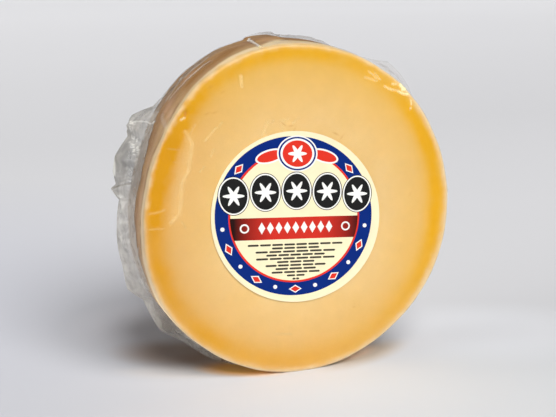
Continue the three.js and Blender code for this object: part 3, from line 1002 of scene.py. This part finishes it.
def lay_film():
    """Where each point of the film lies on the slice, and how loose, pleated and crumpled it is there."""
    skin = SimpleNamespace()
    share, skin.y, skin.angle, corners = film_layout()
    skin.grid = slice_grid(share, skin.y, skin.angle)
    skin.degree = np.degrees(skin.angle)
    skin.unrolled = np.stack([WHEEL_RADIUS * skin.angle, skin.y], axis=-1)
    skin.leftward = window(skin.degree, *SEALED_PART)
    skin.milky_depth = by_angle(MILKY_EDGE, skin.degree)[0] * MM
    skin.tent, skin.near = loose_reach(skin, *corners)
    skin.loose = smooth_ramp(skin.tent, 0.4 * MM, 3 * MM)

    skin.large = facets(skin.unrolled @ LARGE_FACET_TURN, 15 * MM, 51) - 0.4
    skin.small = facets(skin.unrolled, 6.5 * MM, 52) - 0.4
    skin.crinkles = facets(skin.unrolled @ CRINKLE_TURN, 2.1 * MM, 54)
    from_line = distance_to_line(skin.unrolled, rind_places(np.array(CRUSHED_LINE)))
    skin.crushed = skin.loose * smooth_fall(from_line, 1 * MM, CRUSHED_HALF * MM)

    along = WHEEL_RADIUS * skin.angle
    stretched = np.stack([(along + 3.2 * skin.y) * 0.11, skin.y - 0.2 * along, 0 * along], axis=-1)
    skin.pleats = creases(stretched, 4.5 * MM, 7, 53)
    skin.cling = window(skin.y, (-22 * MM, -4 * MM), (27 * MM, 31 * MM))
    return skin


def lift_film(skin, face_height, rind_height):
    """The film's points, off the slice by its clearance, pleats, folds and loose ends."""
    on_rind = smooth_fall(np.abs(skin.y), HALF - 4 * MM, HALF)
    clearance = FILM_ON_FACE + (FILM_ON_RIND - FILM_ON_FACE) * on_rind
    pleat_height = 0.3 * MM * skin.pleats * skin.cling * (1 - skin.loose)
    lifted = raise_skin(skin.grid, clearance + pleat_height + face_height)
    off_seam = 1 - skin.near**6
    crumpled = skin.loose * off_seam * (-4.5 * MM * skin.large - 0.8 * MM * skin.small)
    crumpled = crumpled - skin.crushed * 1.2 * MM * (skin.crinkles - 0.4)
    stand = np.maximum(skin.tent + crumpled + rind_height * off_seam, 0)
    outward = np.stack([np.cos(skin.angle), 0 * skin.angle, np.sin(skin.angle)], axis=-1)
    lifted = lifted + outward * stand[..., None]
    lifted[..., 2] = np.maximum(lifted[..., 2], 0)
    return lifted


def film_haze(skin, milky):
    """How milky the film is: over the rind at the left, in the loose ends, in the pleats and over the top."""
    seam = np.exp(-0.5 * ((1 - skin.near) / 0.05) ** 2) * skin.loose
    haze = np.maximum(0.52 * milky, skin.loose * (0.60 + 0.18 * skin.large)) + 0.06 * seam
    haze = haze * (1 - 0.65 * window(skin.degree, *CLEAR_PART) * smooth_fall(skin.y, 4 * MM, 12 * MM))
    upper_left = smooth_ramp(skin.y, 2 * MM, 10 * MM) * smooth_ramp(skin.degree, 105, 118)
    haze = haze + skin.cling * (1 - milky) * (0.10 * skin.pleats + 0.16 * upper_left)
    haze = haze + 0.22 * window(skin.degree, *BRIDGE_PART) * smooth_ramp(skin.y, 2 * MM, 12 * MM)
    corner = window(skin.degree, *LOOSE_PART)
    haze = haze * (1 - 0.86 * corner) * (1 - 0.7 * smooth_fall(skin.degree, 39, 47) * corner)
    return haze * smooth_fall(skin.y - 2 * MM * rough_lumps(skin.grid, 8 * MM, 60), 26 * MM, 30 * MM)


def film_whiteness(skin):
    """How white the milky film is, rather than grey; it turns greyer by the foot, as painted shade."""
    bands = np.stack([WHEEL_RADIUS * skin.angle * 0.12 + 0.3 * skin.y, skin.y, 0 * skin.y], axis=-1)
    banded = 0.32 * rough_lumps(bands, 3.2 * MM, 58) + 0.26 * lumps(bands, 0.9 * MM, 59)
    white = 0.48 + skin.loose * (banded - 0.27 - 0.40 * skin.large)
    white = white + summed_steps(skin.degree, WHITENESS_STEPS) - 0.18 * window(skin.degree, *DULL_PART)
    return np.clip(white + 0.8 * window(skin.degree, *LOOSE_PART), 0, 1.4)


def make_film():
    """The bag: one closed skin that clings to the slice and stands off it at its two loose ends."""
    skin = lay_film()
    on_front = (skin.y <= -HALF + 4 * MM) * 1.0
    beside = smooth_ramp(skin.y, -HALF + 1 * MM, -HALF + 4 * MM)
    face_spots = np.stack([skin.grid[..., 0], skin.grid[..., 2] - AXIS_HEIGHT], axis=-1)
    face_height, face_highlight, _ = fold_relief(face_spots, skin.grid, FACE_FOLDS, face_places)
    rind_height, rind_highlight, rind_shade = fold_relief(skin.unrolled, skin.grid, RIND_FOLDS, rind_places)
    lifted = lift_film(skin, face_height * on_front, rind_height * beside)

    past_edge = skin.y - skin.milky_depth + 1.6 * MM * rough_lumps(skin.grid, 7 * MM, 55)
    haze = film_haze(skin, skin.leftward * smooth_ramp(past_edge, -1.0 * MM, 1.2 * MM))
    ragged = bell(past_edge, 0.9 * MM) * skin.leftward
    sparkle = smooth_ramp(lumps(skin.grid, 0.8 * MM, 56), 0.08, 0.6)
    # Painted highlights: glints on the folds, the crushed crinkles and the ragged edge of the milky film.
    painted_glints = face_highlight * on_front * 0.8 + rind_highlight * beside
    painted_glints = painted_glints + skin.crushed * (0.52 * sparkle + 0.05) + 0.22 * ragged * sparkle
    # Painted shade where the film leaves the rind, in the crushed crinkles, in the fold creases and by the
    # foot.
    patches = 0.15 + 0.5 * smooth_ramp(lumps(skin.grid, 5 * MM, 57), -0.3, 0.5)
    ragged_edge_shade = 0.45 * ragged * patches * smooth_fall(skin.degree, 160, 172)
    painted_shade = rind_shade * beside * (skin.y < 25 * MM) + ragged_edge_shade
    painted_shade = painted_shade + 0.30 * skin.crushed * smooth_ramp(skin.crinkles, 0.5, 0.8)
    footward = summed_steps(skin.degree, FOOT_SHADE_STEPS) * smooth_fall(skin.degree, *FOOT_SHADE_END)
    painted_shade = painted_shade + footward * haze

    masks = dict(zip(FILM_MASKS, (haze, painted_glints, painted_shade, film_whiteness(skin), on_front)))
    front_middle = face_centre(-1) + np.array([0, -FILM_ON_FACE, 0])
    back_middle = face_centre(1) + np.array([0, FILM_ON_FACE, 0])
    film = skin_object("shrink_film", lifted, front_middle, back_middle, masks, make_film_material())
    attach(film, "root")
    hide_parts("bag_sealed_end", "bag_loose_corner")
    return film


# ---- The label ----

LABEL_LENGTH = 149 * MM
LABEL_WIDTH = 138 * MM
LABEL_TURN = math.radians(-38)  # of its longest way
PRINT_TURN = math.radians(-1.6)  # the print sits slightly turned on the sticker
LABEL_CENTRE = (-5 * MM, -2.5 * MM)
LABEL_FOOT = 0.3 * MM  # its underside, off the face
LABEL_TOP = 0.8 * MM
INK_STEP = 0.03 * MM  # each printed layer stands this much over the one below
GRID_STEP = 0.085  # plates are cut this finely to follow the face

# The print is laid out in shares of the label: u to the right, v up, both -1 to 1 across the sticker.
RING_CENTRE = (-0.028, 0.013)
RING_OUTER, RING_INNER, RING_LINE = 0.93, 0.775, 0.752  # the blue ring, and a thin red one inside it
RING_MARKS = 22  # lozenges and dots in turn round the blue ring
MARKS_RADIUS = 0.853
MEDALLIONS = 5
MEDALLION_HALVES = (0.182, 0.222)
MEDALLION_STEP = 0.364
ARCH_TOP, ARCH_FALL = 0.318, 0.09
ROSETTE_WIDTH = 0.024
CREST_HEIGHT = 0.745  # the red oval over the medallions
WING_PLACE, WING_TURN = (0.315, 0.715), math.radians(16)  # the red ovals beside it
BAND_EDGES = (0.035, -0.252)
BAND_RADIUS = 0.757
BAND_MIDDLE = (-0.02, -0.108)
BAND_LOZENGES = 9
TEXT_TOP, TEXT_STEP = -0.308, 0.041
TEXT_ROWS = 11
TEXT_RADIUS = 0.72
TEXT_SHARES = (0.88, 0.46, 0.80, 0.62)  # of the width inside the ring, row after row
DASH_LENGTH, DASH_HALF_HEIGHT = 0.075, 0.0115

CREAM, BLUE, RED, BLACK, WHITE, BAND, GREY = range(7)

# Plates on top of one another. Each row ends with its layer and ink, and begins with an inset from the
# medallion's outline, the crest's size, or the wing's half length and half width.
MEDALLION_LAYERS = [(0, 2, BLACK), (0.008, 3, WHITE), (0.024, 4, BLACK)]
CREST_LAYERS = [(0.205, 4, WHITE), (0.190, 5, BLUE), (0.172, 6, WHITE), (0.150, 7, RED)]
WING_LAYERS = [(0.175, 0.078, 2, WHITE), (0.152, 0.058, 3, RED)]


def on_sticker(u, v):
    """The place on the face, from the axis, of a place in the print."""
    long, short = turned(*turned(u, v, PRINT_TURN), -LABEL_TURN)
    x, z = turned(long * LABEL_LENGTH / 2, short * LABEL_WIDTH / 2, LABEL_TURN)
    return LABEL_CENTRE[0] + x, LABEL_CENTRE[1] + z


def outline(u, v, spots, turn):
    """An outline's spots, turned and moved to a place in the print."""
    moved = [turned(across, up, turn) for across, up in spots]
    return [(u + across, v + up) for across, up in moved]


def oval(u, v, half_u, half_v, turn=0, points=40):
    """Outline of an oval in the print."""
    angles = [2 * math.pi * i / points for i in range(points)]
    return outline(u, v, [(half_u * math.cos(a), half_v * math.sin(a)) for a in angles], turn)


def rounded_bar(u, v, half_u, half_v, points=2):
    """Outline of a bar with rounded ends."""
    corner = min(half_u, half_v)
    spots = []
    for quarter, (side_u, side_v) in enumerate([(1, 1), (-1, 1), (-1, -1), (1, -1)]):
        for i in range(points + 1):
            a = math.pi / 2 * (quarter + i / points)
            across = side_u * (half_u - corner) + corner * math.cos(a)
            spots.append((across, side_v * (half_v - corner) + corner * math.sin(a)))
    return outline(u, v, spots, 0)


def lozenge(u, v, half_u, half_v, turn=0):
    """Outline of a diamond."""
    return oval(u, v, half_u, half_v, turn, points=4)


def add_plate(bm, spots, low, high, ink):
    """A closed flat plate between two heights, in print coordinates."""
    lower = [bm.verts.new((u, v, low)) for u, v in spots]
    upper = [bm.verts.new((u, v, high)) for u, v in spots]
    faces = [bm.faces.new(upper), bm.faces.new(lower[::-1])]
    count = len(spots)
    for i in range(count):
        j = (i + 1) % count
        faces.append(bm.faces.new((lower[i], lower[j], upper[j], upper[i])))
    for face in faces:
        face.material_index = ink


def add_ring(bm, centre, inner, outer, low, high, ink, points=120):
    """A closed flat ring between two heights."""
    loops = []
    for radius, height in ((inner, low), (outer, low), (outer, high), (inner, high)):
        loops.append([bm.verts.new((u, v, height)) for u, v in oval(*centre, radius, radius, points=points)])
    for k in range(4):
        first, second = loops[k], loops[(k + 1) % 4]
        for i in range(points):
            j = (i + 1) % points
            bm.faces.new((first[i], first[j], second[j], second[i])).material_index = ink


def ink_level(layer):
    """(bottom, top) of a printed layer: 1 lies on the sticker, 2 on that, and so on."""
    return LABEL_TOP + (layer - 1.5) * INK_STEP, LABEL_TOP + layer * INK_STEP


def band_outline():
    """The red band, from one side of the ring to the other."""
    top, bottom = BAND_EDGES
    spots = oval(*RING_CENTRE, BAND_RADIUS, BAND_RADIUS, points=200)
    inside = [(u, v) for u, v in spots if bottom <= v <= top]
    right = sorted((spot for spot in inside if spot[0] > 0), key=lambda spot: spot[1])
    left = sorted((spot for spot in inside if spot[0] < 0), key=lambda spot: -spot[1])
    return right + left


def medallion_places():
    """Middles of the medallions, on a gentle arch."""
    across = [(i - (MEDALLIONS - 1) / 2) * MEDALLION_STEP - 0.01 for i in range(MEDALLIONS)]
    return [(u, ARCH_TOP - ARCH_FALL * u * u) for u in across]


def add_rosette(bm, u, v, reach, layer):
    """Six white petals, as three crossed ovals."""
    for i in range(3):
        petal = oval(u, v, reach, ROSETTE_WIDTH, math.pi / 3 * i, points=20)
        add_plate(bm, petal, *ink_level(layer + i), WHITE)


def print_ring(bm):
    """The blue ring and the lozenges and dots on it, left out where the medallions and the crest lie."""
    add_ring(bm, RING_CENTRE, RING_INNER, RING_OUTER, *ink_level(1), BLUE)
    add_ring(bm, RING_CENTRE, RING_LINE, RING_INNER, *ink_level(1), RED)
    for i in range(RING_MARKS):
        a = 2 * math.pi * (i + 0.5) / RING_MARKS
        u = RING_CENTRE[0] + MARKS_RADIUS * math.cos(a)
        v = RING_CENTRE[1] + MARKS_RADIUS * math.sin(a)
        if abs(v - 0.24) < 0.26 or (abs(u) < 0.5 and v > 0):
            continue
        if i % 2:
            add_plate(bm, oval(u, v, 0.024, 0.024, points=20), *ink_level(2), WHITE)
        else:
            add_plate(bm, lozenge(u, v, 0.078, 0.048, a + math.pi / 2), *ink_level(2), WHITE)
            add_plate(bm, lozenge(u, v, 0.058, 0.034, a + math.pi / 2), *ink_level(3), RED)


def print_band(bm):
    """The red band, with a row of lozenges and a small ring at each end."""
    middle_u, middle_v = BAND_MIDDLE
    add_plate(bm, band_outline(), *ink_level(2), BAND)
    for i in range(BAND_LOZENGES):
        u = 0.1 * (i - (BAND_LOZENGES - 1) / 2) + middle_u
        add_plate(bm, lozenge(u, middle_v, 0.040, 0.070), *ink_level(3), WHITE)
    for side in (-1, 1):
        add_ring(bm, (0.6 * side + middle_u, middle_v), 0.036, 0.054, *ink_level(3), WHITE, points=32)


def print_dashes(bm):
    """Rows of grey dashes under the band."""
    for row in range(TEXT_ROWS):
        v = TEXT_TOP - TEXT_STEP * row
        half = math.sqrt(TEXT_RADIUS**2 - v**2) * TEXT_SHARES[row % len(TEXT_SHARES)]
        ends = np.linspace(-half, half, max(2, round(half / DASH_LENGTH)) + 1) + BAND_MIDDLE[0]
        for start, end in zip(ends[:-1], ends[1:]):
            dash = rounded_bar((start + end) / 2, v, (end - start) * 0.45, DASH_HALF_HEIGHT)
            add_plate(bm, dash, *ink_level(1), GREY)


def print_label(bm):
    """The sticker and everything printed on it, as plain fields and simple shapes."""
    add_plate(bm, oval(0, 0, 1, 1, points=120), LABEL_FOOT, LABEL_TOP, CREAM)
    print_ring(bm)
    print_band(bm)
    half_u, half_v = MEDALLION_HALVES
    for u, v in medallion_places():
        for inset, layer, ink in MEDALLION_LAYERS:
            add_plate(bm, oval(u, v, half_u - inset, half_v - inset, points=56), *ink_level(layer), ink)
        add_rosette(bm, u, v, 0.125, 5)
    for side in (-1, 1):
        for half_length, half_width, layer, ink in WING_LAYERS:
            wing = oval(WING_PLACE[0] * side, WING_PLACE[1], half_length, half_width, -WING_TURN * side)
            add_plate(bm, wing, *ink_level(layer), ink)
    for size, layer, ink in CREST_LAYERS:
        add_plate(bm, oval(0, CREST_HEIGHT, size * 1.15, size, points=56), *ink_level(layer), ink)
    add_rosette(bm, 0, CREST_HEIGHT, 0.110, 8)
    print_dashes(bm)


def make_ink_material(name, colour, roughness, band=False):
    """Satin printed paper in one ink, with the fibres of the sticker just showing through."""
    material, tree, shader = new_material(name)
    uneven = clouds(tree, 0.012, 4.0, 1.6)
    printed = mixed_colour(tree, uneven, tone(*(part * 0.93 for part in colour[:3])), colour)
    if band:
        place = mask_socket(tree, "along_print")
        lit = maths(tree, "SUBTRACT", 1.0, maths(tree, "MULTIPLY", place, place))
        printed = mixed_colour(tree, spread(tree, lit, 0.45, 0.92, 0.0, 1.0), BAND_DARK, printed)
    feed(tree, shader, {
        "Base Color": printed,
        "Roughness": spread(tree, uneven, 0.0, 1.0, roughness - 0.05, roughness + 0.05),
        "Normal": relief(tree, grain(tree, 0.0009, 0.2), 0.12, 0.0002),
        "Specular IOR Level": 0.12,
    })
    return material


BAND_DARK = tone(0.018, 0.004, 0.003)

# (name, colour, roughness, whether it darkens towards the ends of the band), in the inks' own order.
INKS = [
    ("label cream", tone(0.92, 0.83, 0.56), 0.42, False),
    ("label blue ink", tone(0.000, 0.020, 0.190), 0.34, False),
    ("label red ink", tone(0.72, 0.035, 0.018), 0.36, False),
    ("label black ink", tone(0.012, 0.012, 0.012), 0.36, False),
    ("label white", tone(0.90, 0.90, 0.87), 0.42, False),
    ("label shaded red ink", tone(0.62, 0.030, 0.018), 0.34, True),
    ("label grey ink", tone(0.06, 0.053, 0.04), 0.45, False),
]


def cut_plates(bm):
    """Cuts across all plates along a square grid, so that they can follow the face."""
    steps = int(1 / GRID_STEP)
    for axis in (Vector((1, 0, 0)), Vector((0, 1, 0))):
        for i in range(-steps, steps + 1):
            everything = bm.verts[:] + bm.edges[:] + bm.faces[:]
            place = axis * i * GRID_STEP
            bmesh.ops.bisect_plane(bm, geom=everything, plane_co=place, plane_no=axis, dist=1e-6)


def finished_mesh(name, bm):
    """A mesh with what a bmesh holds."""
    mesh = bpy.data.meshes.new(name)
    bm.to_mesh(mesh)
    bm.free()
    return mesh


def make_label():
    """The round sticker on the labelled face."""
    bm = bmesh.new()
    print_label(bm)
    cut_plates(bm)
    print_u = [vert.co.x for vert in bm.verts]
    for vert in bm.verts:
        x, z = on_sticker(vert.co.x, vert.co.y)
        vert.co = (x, -(HALF + float(face_wave(x, z)) + vert.co.z), AXIS_HEIGHT + z)
    bmesh.ops.recalc_face_normals(bm, faces=bm.faces[:])
    mesh = finished_mesh("label_sticker", bm)
    mesh.shade_smooth()
    mesh.set_sharp_from_angle(angle=math.radians(40))
    attribute = mesh.attributes.new("along_print", "FLOAT", "POINT")
    attribute.data.foreach_set("value", np.array(print_u, dtype=np.float32))
    for ink in INKS:
        mesh.materials.append(make_ink_material(*ink))
    label = add_object("label_sticker", mesh)
    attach(label, "root")
    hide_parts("label")
    return label


# ---- Stage, light and camera ----

FLOOR_RADIUS = 9.0
IMAGE_WIDTH = 556  # in pixels
CAMERA_AZIMUTH = -21.8  # to the left of the labelled face
CAMERA_ELEVATION = 14.5
CAMERA_DISTANCE = 0.9
CAMERA_FOCAL_PIXELS = 1119.2
CAMERA_SENSOR = 36
FACE_IN_VIEW = (24.96, 5.69)  # the face's middle, in pixels right of and below the middle of the view


def floor_tone(tree, place):
    """The floor's plain grey, which drifts with depth, with painted shade that makes it darker and cooler at
    one side.
    """
    depth = add_node(tree, "ShaderNodeSeparateXYZ", inputs={0: place}).outputs["Y"]
    ramp = add_node(tree, "ShaderNodeValToRGB", inputs={0: spread(tree, depth, *FLOOR_DEPTHS, 0.0, 1.0)})
    stops = ramp.color_ramp.elements
    while len(stops) < len(FLOOR_TONES):
        stops.new(0.5)
    for stop, (position, brightness) in zip(stops, FLOOR_TONES):
        stop.position = position
        stop.color = tone(brightness * 0.995, brightness, brightness * 1.045)
    offset = add_node(tree, "ShaderNodeVectorMath", inputs={0: place, 1: FLOOR_SHADE_PLACE}, operation="DISTANCE")
    floor_shade = spread(tree, offset.outputs["Value"], 0.1, FLOOR_SHADE_REACH, 1.0, 0.0)
    return mixed_colour(tree, floor_shade, ramp.outputs["Color"], FLOOR_SHADE_TONE, mode="MULTIPLY")


def tinted_spot(tree, place, colour, x, y, turn, half_length, half_width, tint):
    """A colour with a soft oval spot of another tone on it."""
    given = {
        "Vector": place,
        "Location": (x * MM, y * MM, 0),
        "Rotation": (0, 0, math.radians(turn)),
        "Scale": (half_length * MM, half_width * MM, 1),
    }
    spot = add_node(tree, "ShaderNodeMapping", inputs=given, vector_type="TEXTURE").outputs["Vector"]
    away = add_node(tree, "ShaderNodeVectorMath", inputs={0: spot}, operation="LENGTH").outputs["Value"]
    given = {"Value": away, "From Min": 0.3, "From Max": 1.0, "To Min": 1.0, "To Max": 0.0}
    near = add_node(tree, "ShaderNodeMapRange", inputs=given, interpolation_type="SMOOTHSTEP")
    return mixed_colour(tree, near.outputs["Result"], colour, tint, mode="MULTIPLY")


def make_floor():
    """A plain pale floor, with painted shadows and pools of light round the cheese's foot."""
    bm = bmesh.new()
    bmesh.ops.create_circle(bm, cap_ends=True, segments=96, radius=FLOOR_RADIUS)
    material, tree, shader = new_material("studio floor")
    place = add_node(tree, "ShaderNodeTexCoord").outputs["Object"]
    colour = floor_tone(tree, place)
    # Painted shadows and pools of light round the cheese's foot.
    for spot in PAINTED_FLOOR_LIGHT_AND_SHADE:
        colour = tinted_spot(tree, place, colour, *spot)
    colour = shaded(tree, colour, spread(tree, clouds(tree, 0.8, 1.0, 0.5), 0.0, 1.0, 0.985, 1.015))
    feed(tree, shader, {"Base Color": colour, "Roughness": 0.7, "Specular IOR Level": 0.2})
    mesh = finished_mesh("studio_floor", bm)
    mesh.materials.append(material)
    floor = add_object("studio_floor", mesh)


FLOOR_DEPTHS = (-0.3, 4.2)  # the floor's tone drifts between these depths
FLOOR_TONES = [
    (0.0, 0.655), (0.055, 0.645), (0.09, 0.68), (0.16, 0.69), (0.30, 0.665), (0.55, 0.72), (0.90, 0.775),
]
# Painted shade: the floor is darker and cooler round this place, left of and behind the cheese.
FLOOR_SHADE_PLACE = (-0.42, 0.25, 0)  # the floor is a little darker and cooler here
FLOOR_SHADE_REACH = 0.62
FLOOR_SHADE_TONE = tone(0.87, 0.885, 0.945)

# Painted shadows and painted pools of light on the floor round the cheese's foot, some of them warm as though
# light had passed through the cheese: (x, y, turn, half length and half width in mm, tint).
PAINTED_FLOOR_LIGHT_AND_SHADE = [
    (-84, 42, -28, 72, 42, tone(0.68, 0.55, 0.46)),
    (-45, -8, -26, 47, 21, tone(1.62, 0.90, 0.26)),
    (-62, 20, -26, 42, 24, tone(0.97, 0.85, 0.74)),
    (-100, 4, -22, 62, 20, tone(1.15, 1.11, 1.06)),
    (-100, 128, -20, 75, 85, tone(1.27, 1.255, 1.25)),
    (62, -14, 20, 62, 24, tone(0.88, 0.75, 0.60)),
    (56, -8, 20, 34, 15, tone(1.90, 1.75, 1.65)),
    (190, 0, -20, 170, 95, tone(1.13, 1.14, 1.15)),
    (80, -120, 0, 260, 130, tone(1.02, 1.05, 1.06)),
]

# Broad even lights: (name, azimuth, elevation, breadth, strength, colour).
SUNS = [
    ("key_light", 10, 48, 42, 3.75, (1.0, 0.99, 0.965)),
    ("left_fill", -90, 8, 50, 2.3, (1.0, 0.995, 0.985)),
]
SURROUND_COLOUR = (0.88, 0.92, 1.0, 1.0)
SURROUND_STRENGTH = 0.042


def direction(azimuth, elevation):
    """The way out from the slice, in degrees: azimuth 0 is in front of the labelled face, 90 to its right."""
    a, e = math.radians(azimuth), math.radians(elevation)
    return Vector((math.sin(a) * math.cos(e), -math.cos(a) * math.cos(e), math.sin(e)))


def light_studio():
    """A broad key from above and in front, a low broad fill from the left, and a faint glow all round."""
    for name, azimuth, elevation, breadth, strength, colour in SUNS:
        data = bpy.data.lights.new(name, "SUN")
        data.energy = strength
        data.color = colour
        data.angle = math.radians(breadth)
        sun = add_object(name, data)
        sun.rotation_euler = direction(azimuth, elevation).to_track_quat("Z", "Y").to_euler()
    world = bpy.data.worlds.new("studio_surround")
    world.use_nodes = True
    surround = world.node_tree.nodes["Background"]
    feed(world.node_tree, surround, {"Color": SURROUND_COLOUR, "Strength": SURROUND_STRENGTH})
    bpy.context.scene.world = world
    bpy.context.scene.view_settings.view_transform = "Standard"


def aim_camera():
    """The camera at the left front, a little above the slice."""
    back = direction(CAMERA_AZIMUTH, CAMERA_ELEVATION)
    right = (-back).cross(Vector((0, 0, 1))).normalized()
    up = right.cross(-back).normalized()
    aside, below = (pixels / CAMERA_FOCAL_PIXELS for pixels in FACE_IN_VIEW)
    aim = -back - right * aside + up * below
    data = bpy.data.cameras.new("camera")
    data.sensor_width = CAMERA_SENSOR
    data.lens = CAMERA_SENSOR * CAMERA_FOCAL_PIXELS / IMAGE_WIDTH
    camera = add_object("camera", data)
    camera.location = Vector((0, -HALF, AXIS_HEIGHT)) + back * CAMERA_DISTANCE
    camera.rotation_euler = aim.to_track_quat("-Z", "Y").to_euler()
    bpy.context.scene.camera = camera


make_cheese()
make_film()
make_label()
make_floor()
light_studio()
aim_camera()
